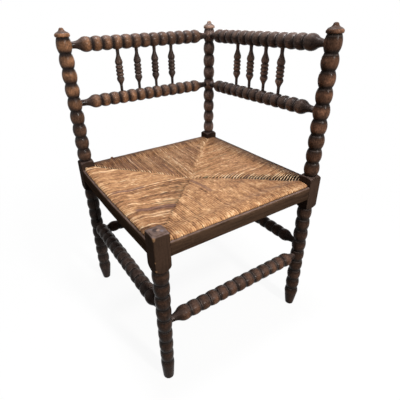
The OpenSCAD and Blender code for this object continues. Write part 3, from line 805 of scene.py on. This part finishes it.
STRAW = [
    (0.35, (0.12, 0.054, 0.025)), (0.43, (0.27, 0.126, 0.057)), (0.5, (0.42, 0.215, 0.098)),
    (0.56, (0.58, 0.33, 0.162)), (0.64, (0.84, 0.6, 0.37)),
]
PURPLE = (0.150, 0.070, 0.060)
GREENISH = (0.24, 0.20, 0.11)
GAP_SHADE_AND_DIRT = (0.05, 0.026, 0.014)
SOIL_AND_SHADE_TINT = (0.42, 0.36, 0.34)
TWIST = math.radians(14)


def rush_material():
    """Twisted rush: straw colours that change along a strand and over the seat, darkened between strands
    by dirt and painted shade. The mesh gives strand (across, along, field), tone, hue, crown and
    soil_and_shade, the share of dirt and painted shade."""
    n = Nodes(bpy.data.materials.new("woven_rush"))
    place = n.attribute("strand", "Vector")
    fibre = n.noise(n.scaled(n.scaled(place, (1, 1, 1), TWIST), (1.0, 0.10, 1.0)), 1500.0, 3.0, 0.6)
    dash = n.noise(n.scaled(place, (1.0, 0.30, 1.0)), 330.0, 2.0, 0.55)
    stretch = n.noise(n.scaled(place, (0.6, 0.30, 1.0)), 130.0, 2.0, 0.5)
    patch = n.noise(n.point(), 24.0, 3.0, 0.55)
    share = n.times(n.attribute("tone"), 0.18)
    for part, weight in ((dash, 0.34), (stretch, 0.28), (patch, 0.20)):
        share = n.calc("ADD", share, n.times(part, weight))
    colour = n.ramp(share, STRAW)
    hue = n.attribute("hue")
    colour = n.mix(n.ranged(hue, 0.1, 1.0, 0.0, 0.85), colour, PURPLE)
    colour = n.mix(n.ranged(hue, -1.0, -0.1, 0.8, 0.0), colour, GREENISH)
    # Strands darkened toward their flanks by the crown: painted shade between strands, with dirt
    low = n.ranged(n.attribute("crown"), 0.10, 0.86, 0.12, 1.05)
    colour = n.mix(1.0, colour, low, "MULTIPLY")
    # Dark patches in the gaps between strands: painted shade, with dirt
    gap_noise = n.noise(n.scaled(place, (1.0, 0.22, 1.0)), 160.0, 1.0)
    beside = n.ranged(n.attribute("crown"), 0.55, 0.97, 1.0, 0.0)
    colour = n.mix(n.times(n.ranged(gap_noise, 0.56, 0.66), beside, 0.8), colour, GAP_SHADE_AND_DIRT)
    colour = n.mix(n.attribute("soil_and_shade"), colour, n.mix(1.0, colour, SOIL_AND_SHADE_TINT, "MULTIPLY"))
    n.surface({
        "Base Color": n.mix(1.0, colour, n.ranged(fibre, 0.25, 0.75, 0.80, 1.18), "MULTIPLY"),
        "Roughness": n.ranged(fibre, 0.2, 0.8, 0.45, 0.70),
        "Specular IOR Level": 0.15,
        "Normal": n.bump(fibre, 0.5, 0.0004),
    })


# Strands of another colour, by field: place along the rail, half width, from and to (distances
# inward) and hue, purple brown above 0 and greenish grey below
STREAKS = {
    0: [(-8, 3.4, 120, 222, 0.65), (-70, 1.5, 60, 150, 0.4), (60, 1.5, 20, 90, 0.4),
        (-100, 2, 95, 130, 0.35), (-40, 2, 150, 190, 0.35)],
    1: [(-22, 2, 190, 232, -0.9), (-124, 2, 84, 118, -0.7), (-110, 1.5, 20, 90, -0.5),
        (-60, 2, 120, 200, 0.6), (-92, 2, 100, 140, 0.7), (-40, 1.5, 60, 150, -0.5),
        (15, 1.5, 150, 230, -0.5), (60, 2, 60, 130, -0.6), (100, 1.5, 40, 110, -0.4)],
    2: [(117, 3, 4, 110, 0.55), (103, 2, 10, 110, 0.5), (92, 2, 30, 120, 0.6),
        (140, 3, 0, 60, 0.4), (45, 2, 60, 190, 0.5), (-60, 2, 40, 150, 0.4),
        (26, 2, 120, 200, 0.6), (10, 2, 90, 220, -0.35)],
    3: [(99, 3.2, 20, 145, 0.9), (109, 2.5, 60, 140, 0.7), (84, 2, 80, 150, -0.7),
        (76, 1.8, 96, 150, -0.6), (-8, 3.4, 6, 96, 0.75), (40, 2, 150, 200, -0.5),
        (130, 2, 10, 90, 0.4), (-60, 2, 30, 130, 0.35), (-120, 2, 10, 100, 0.3)],
}


def streak_hue(k, x, u):
    """Hue of field k's strands at x along the rail and u inward."""
    hue = 0.0
    for at, half, start, end, value in STREAKS[k]:
        near = 1 - ease((abs(x - at) - half) / 2.0)
        inside = ease((u - start) / 14 + 0.5) * (1 - ease((u - end) / 14 + 0.5))
        hue += value * near * inside
    return max(-1.0, min(1.0, hue))


def soil_and_shade(k, x, u):
    """Share by which field k is darkened: by dirt, most at the left corner and over the back fields, in a
    dark line along the back edges, and toward the ends of the front right field, where by the right block
    it is painted shade.
    """
    if k == 2:
        corner = ease((x - 60) / 120) * (1 - ease((u - 60) / 80))
        return 0.55 + 0.45 * corner + 0.12 * ease((60 - u) / 60) + 0.5 * ease((12 - u) / 5)
    if k == 1:
        return 0.43 + 0.12 * ease((40 - u) / 40) + 0.8 * ease((12 - u) / 5)
    if k == 3:
        return 0.16 + 0.34 * ease((x - 20) / 140) + 0.1 * ease((u - 60) / 120)
    # Darker toward both ends of the front right field; by the right block this is painted shade
    ends = 0.2 * ease((-x - 120) / 80) + 0.40 * ease((x - 10) / 150) + 0.35 * ease((x - 130) / 60)
    return 0.08 * ease((u - 120) / 100) + ends


def splay(k, x, u):
    """How far a strand has slipped sideways: toward the front corner, and at the right diagonal."""
    if k == 1 and x < 0:
        # They lean toward the right corner before they go under
        near = 1 - (RUSH_HALF - abs(x) - u) / 55
        return -22.0 * ease(abs(x) / 70) * min(1.0, max(0.0, near)) ** 2
    if k != 3:
        return 0.0
    return 21.0 * ease((x + 10) / 110) * (max(0.0, u - 35) / 90) ** 1.8


def bulge(k, x):
    """How far field k bulges out over its strip, which itself is bowed on side 3."""
    if k in (1, 2):
        return 0.0
    if k == 0:
        return 2.4
    return 2.4 + 3.0 * max(0.0, math.cos(math.pi * x / 2 / STRAND_ROOM)) ** 1.2


def strand_line(end, out, dives, loose, gap, end_light):
    """Points of a strand from under the seat, over the edge, to a diagonal: (u, z), its outward normal,
    how much paler it is painted (a painted highlight above 0, painted shade below 0) and its share of the
    full width. out is how far it bulges over the strip. One that dives goes under its neighbour field.
    Over its last, loose stretch it is painted paler by end_light, a painted highlight on ends that bend
    toward the light; where end_light is below 0 it is painted darker, a painted shade; and it stands apart
    from those beside it by the share gap."""
    low_roll, roll = 5.0, 8.0
    line = []
    under = np.linspace(end, low_roll, max(3, int((end - low_roll) / 11) + 1))
    for u in under:
        line.append((u, rush_under(u), 0.0, -1.0, 0.0, 1.0))
    for a in (-60, -30, 0):
        c, s = math.cos(math.radians(a)), math.sin(math.radians(a))
        line.append((low_roll - low_roll * c, RUSH_LOW_Z + low_roll + low_roll * s, -c, s, 0.0, 1.0))
    for z in (SEAT_H - 27, SEAT_H - 17):
        line.append((0.0, z, -1.0, 0.0, 0.0, 1.0))
    # Where it rolls over the edge the strand is painted a little paler, a painted highlight
    line.append((0.0, SEAT_H - 7.4, -1.0, 0.0, 0.05, 1.0))
    for a, pushed in ((11, 0.7), (22, 1.0), (36, 1.0), (54, 0.8), (72, 0.4), (90, 0.0)):
        c, s = math.cos(math.radians(a)), math.sin(math.radians(a))
        line.append((roll - roll * c - out * pushed, SEAT_H - roll + roll * s, -c, s, 0.05, 1.0))
    run = end - roll
    steps = max(3, int(run / 5) + 1)
    tail = min(9.0 if dives else 5.0, max(1.0, run - 3))
    for u in np.linspace(roll + min(5.0, run / steps), end - tail, steps):
        apart = ease((u - end + loose) / loose * 1.4)
        line.append((u, rush_top(u), 0.0, 1.0, end_light * apart, 1 - gap * apart))
    over, drop = (2.5, 5.2) if dives else (1.9, 1.5)
    for t in (0.15, 0.3, 0.45, 0.6, 0.75, 0.88, 1.0):
        u = end - tail + (tail + over) * t
        narrow = (1 - gap) * (1 - 0.2 * ease(t * 1.25))
        z = rush_top(min(u, RUSH_HALF)) - drop * ease(t) ** 1.4
        line.append((u, z, 0.0, 1.0, end_light * (1 - 0.6 * t ** 3), narrow))
    return line


def strand_data():
    return {key: [] for key in ("strand", "tone", "hue", "crown", "soil_and_shade")}


def note(data, *values):
    """Add one vertex's strand, tone, hue, crown and share of dirt and painted shade."""
    for column, value in zip(data.values(), values):
        column.append(value)


def field_strands(k, rng):
    """Vertices, faces and attributes of one field, wound side by side from one block to the next."""
    count = int(round(2 * STRAND_ROOM / STRAND_PITCH))
    pitch = 2 * STRAND_ROOM / count
    verts, faces, data = [], [], strand_data()
    for i in range(count):
        x0 = -STRAND_ROOM + (i + 0.5) * pitch
        dives, loose, gap, end_light, ragged = ENDS[k][int(x0 > 0)]
        width = pitch / 2 * rng.uniform(0.98, 1.08)
        lift = rng.uniform(-0.35, 0.30) * UNEVEN[k]
        tone = min(1.0, max(0.0, rng.gauss(0.5, 0.17 * UNEVEN[k])))
        if rng.random() < 0.06:
            tone *= 0.4
        if k == 3 and x0 < -186:
            # Fresh, frayed rush at the left corner
            tone += 0.45
        phase = rng.uniform(0, 6.28)
        end = RUSH_HALF - abs(x0)
        # Where the strand meets the diagonal depends on how far it has slipped there
        for _ in range(4):
            end = RUSH_HALF - abs(x0 + splay(k, x0, end))
        if abs(x0) > 12:
            end += rng.uniform(-0.6, 0.4) * ragged
        # Beside the blocks the strands sink in a little
        tight = ease((abs(x0) - 184) / 20)
        near_corner = ease((abs(x0) - 30) / 110)
        end_light *= rng.uniform(0.6, 1.2) * (0.4 + 0.6 * near_corner)
        across = x0 * MM * 0.75 if k == 0 else i * 0.037
        line = strand_line(end, bulge(k, x0), dives and abs(x0) > 5, loose, gap * near_corner, end_light)
        first = len(verts)
        length = -end
        last = line[0]
        for u, z, nu, nz, share, narrow in line:
            length += math.hypot(u - last[0], z - last[1])
            last = (u, z)
            wander = 0.25 * math.sin(length / 31.0 + phase) + 0.12 * math.sin(length / 11.0 + 2 * phase)
            middle = x0 + wander + splay(k, x0, u)
            seen = nz >= 0
            hue = streak_hue(k, x0, u) if seen else 0.0
            dirt_and_shade = soil_and_shade(k, x0, u) * (1 - min(0.5, max(0.0, share))) if seen else 0.35
            v = -RUSH_HALF + u + 3.5 * tight * (1 - ease(u / 12))
            z -= 1.6 * tight * (nz > 0)
            for a in STRAND_ANGLES:
                ply = 1 + 0.07 * math.sin(length / 1.9 + 2 * a + phase)
                height = STRAND_R * ply * math.cos(a) - STRAND_R + lift
                x = middle + width * narrow * math.sin(a) * 1.02
                verts.append((x, v + nu * height, z + nz * height))
                # A strand's flanks, more so on a loose end, are painted darker: painted shade between
                # strands, with dirt
                crown = 1 - GROOVED[k] * (1 - max(0.0, math.cos(a)) ** (narrow ** -2.5))
                place = (across + a * 0.0027 + k * 3.1, length * MM / RUNS[k], k * 1.7)
                # tone takes the painted highlight and painted shade at the strand's ends and on its roll
                note(data, place, min(1.3, tone + share), hue, crown, dirt_and_shade)
        faces += grid_faces(len(line), len(STRAND_ANGLES), False, first)
    backing, back_faces = field_backing(len(verts))
    # The stuffing takes the darkest rush colour, a painted shade
    for _ in backing:
        note(data, (0, 0, 0), 0, 0, 0, 0)
    return verts + backing, faces + back_faces, data


def field_backing(first):
    """Stuffing just under the strands of one field, above and below, painted near black as the shade seen
    between strands.
    """
    verts, faces = [], []
    rows, columns = 24, 25
    for top in (True, False):
        start = first + len(verts)
        for i in range(rows + 1):
            u = 4.0 + (RUSH_HALF - 4.0) * i / rows
            half = min(STRAND_ROOM, RUSH_HALF - u)
            z = min(rush_top(u) - 3.2 if top else rush_under(u) + 3.0, SEAT_H - 4.5)
            for j in range(columns):
                verts.append((-half + 2 * half * j / (columns - 1), -RUSH_HALF + u, z))
        found = grid_faces(rows + 1, columns, False, start)
        faces += found if top else [tuple(reversed(f)) for f in found]
    return verts, faces


def add_rush(name, verts, faces, data, k=0, node=None):
    """Piece of rush, from millimetres in the frame of side k, for the node it replaces."""
    material = bpy.data.materials["woven_rush"]
    attach(new_object(name, chair_points(verts, k), faces, data, material, sharp=75.0), node)


def make_rush():
    rush_material()
    for k in range(4):
        verts, faces, data = field_strands(k, random.Random(70 + k))
        add_rush("rush_" + SIDE_NAMES[k], verts, faces, data, k, "rush_seat")


def make_straws():
    """Broken ends of rush that stick out at the left corner."""
    rng = random.Random(90)
    verts, faces, data = [], [], strand_data()
    for i in range(9):
        # From a start on the edge a straw runs out, up and a little down again
        x, y = -RUSH_HALF + rng.uniform(3, 10), STRAND_ROOM - 2 - rng.uniform(0, 12)
        start = np.array([x, y, SEAT_H - rng.uniform(1, 4)])
        aim = np.array([rng.uniform(-0.5, 0.3), rng.uniform(0.0, 0.6), rng.uniform(0.6, 1.2)])
        aim /= np.linalg.norm(aim)
        side = np.cross(aim, (0.0, 0.0, 1.0))
        side /= np.linalg.norm(side)
        lift = np.cross(side, aim)
        long, thick = rng.uniform(5, 9), rng.uniform(0.6, 1.1)
        first = len(verts)
        for j in range(6):
            t = j / 5
            middle = start + aim * long * t - np.array([0, 0, 2.5]) * t * t
            r = thick * (1 - 0.7 * t * t)
            for a in range(5):
                turn = 2 * math.pi * a / 5
                verts.append(tuple(middle + r * (math.cos(turn) * side + math.sin(turn) * lift)))
                note(data, (i * 0.041, t * long * MM, 9.0), 1.1, 0.0, 0.9, 0.05)
        faces += grid_faces(6, 5, True, first)
    add_rush("rush_broken_ends", verts, faces, data)


def make_knot():
    """A small dark knot in the rush at the back left edge, where a new length was tied on."""
    rng = random.Random(91)
    rows, columns = 9, 12
    at = (138.0, 5.5 - RUSH_HALF, SEAT_H + 0.3)
    size = (4.2, 2.8, 3.0)
    verts, data = [], strand_data()
    for i in range(rows):
        tilt = math.pi * (i + 0.001) / (rows - 1 + 0.002)
        for j in range(columns):
            turn = 2 * math.pi * j / columns
            r = 1 + 0.12 * math.sin(3 * turn + 2 * tilt) + rng.uniform(-0.04, 0.04)
            aim = (math.sin(tilt) * math.cos(turn), math.sin(tilt) * math.sin(turn), math.cos(tilt))
            verts.append([p + r * d * a for p, d, a in zip(at, size, aim)])
            note(data, (0.7, 0.004 * i, 9.0), 0.3, 0.4, 0.7, 0.9)
    faces = [tuple(reversed(f)) for f in grid_faces(rows, columns, True)]
    add_rush("rush_knot", verts, faces, data, 2)


# Light, floor and background

# Lamps: place, size, power and colour
LAMPS = {
    "key": ((0.3, -2.2, 1.5), 0.3, 62.0, (1.0, 0.97, 0.93)),
    "top": ((0.05, 0.1, 2.8), 0.5, 48.0, (0.95, 0.97, 1.0)),
    "left_fill": ((-2.4, 0.6, 1.0), 1.5, 8.0, (1, 1, 1)),
    "back_fill": ((2.2, 2.4, 1.0), 1.2, 22.0, (1, 1, 1)),
}
LAMP_AIM = (0, 0, 0.4)
AMBIENT = 0.13
FLOOR_HALF = 14.0
WHITE = (1.0, 1.0, 1.0, 1.0)


def add_light(name, at, size, power, colour):
    data = bpy.data.lights.new(name, "AREA")
    data.shape = "DISK"
    data.size = size
    data.energy = power
    data.color = colour
    obj = bpy.data.objects.new(name, data)
    obj.location = at
    obj.rotation_euler = (Vector(LAMP_AIM) - Vector(at)).to_track_quat("-Z", "Y").to_euler()
    scene.collection.objects.link(obj)


def seen_directly(n):
    """1 for what the lens sees directly, in a gloss or through glass, else 0."""
    rays = n.add("LightPath").outputs
    indirect = n.calc("MAXIMUM", rays["Is Glossy Ray"], rays["Is Transmission Ray"])
    return n.calc("MAXIMUM", rays["Is Camera Ray"], indirect)


def add_world():
    """White where it is seen, and a weak light all round."""
    scene.world = bpy.data.worlds.new("studio")
    n = Nodes(scene.world)
    ambient = n.tree.nodes["Background"]
    ambient.inputs["Color"].default_value = WHITE
    ambient.inputs["Strength"].default_value = AMBIENT
    white = n.add("Background", WHITE, 1.0)
    both = n.add("MixShader", seen_directly(n), ambient.outputs[0], white.outputs[0])
    n.put(n.tree.nodes["World Output"].inputs["Surface"], both.outputs[0])


def add_floor():
    """White paper. The lens sees it white; it throws less light back up at the chair than paper would."""
    n = Nodes(bpy.data.materials.new("floor_paper"))
    camera_ray = n.add("LightPath").outputs["Is Camera Ray"]
    n.surface({
        "Base Color": n.mix(camera_ray, (0.12, 0.12, 0.12), (0.9, 0.9, 0.9)),
        "Roughness": 0.9,
        "Specular IOR Level": 0.1,
    })
    glow = n.add("Emission", WHITE, 1.0)
    far = n.add("VectorMath", n.point(), operation="LENGTH").outputs["Value"]
    share = n.times(seen_directly(n), n.ranged(far, 0.4, 1.4, 0.93, 1.0))
    both = n.add("MixShader", share, n.shader.outputs[0], glow.outputs[0])
    n.put(n.tree.nodes["Material Output"].inputs["Surface"], both.outputs[0])
    mesh = bpy.data.meshes.new("floor")
    corners = [(x * FLOOR_HALF, y * FLOOR_HALF, 0) for x, y in ((-1, -1), (1, -1), (1, 1), (-1, 1))]
    mesh.from_pydata(corners, [], [(0, 1, 2, 3)])
    mesh.materials.append(n.owner)
    floor = bpy.data.objects.new("floor", mesh)
    scene.collection.objects.link(floor)


def raw_wood_material():
    """Raw, dusty wood of the seat rails inside the rush."""
    n = Nodes(bpy.data.materials.new("raw_rail_wood"))
    streak = n.noise(n.point(), 60.0, 4.0, 0.6)
    n.surface({
        "Base Color": n.ramp(streak, [(0.3, (0.09, 0.055, 0.03)), (0.7, (0.17, 0.11, 0.065))]),
        "Roughness": n.ranged(streak, 0.3, 0.7, 0.6, 0.8),
    })
    return n.owner


scene.view_settings.view_transform = "Standard"
add_camera()
add_world()
for name, lamp in LAMPS.items():
    add_light(name, *lamp)
add_floor()
make_wood()
make_rush()
make_straws()
make_knot()

raw_wood = raw_wood_material()
for side in SIDE_NAMES:
    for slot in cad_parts["seat_rail_" + side].material_slots:
        slot.material = raw_wood

bpy.context.view_layer.update()
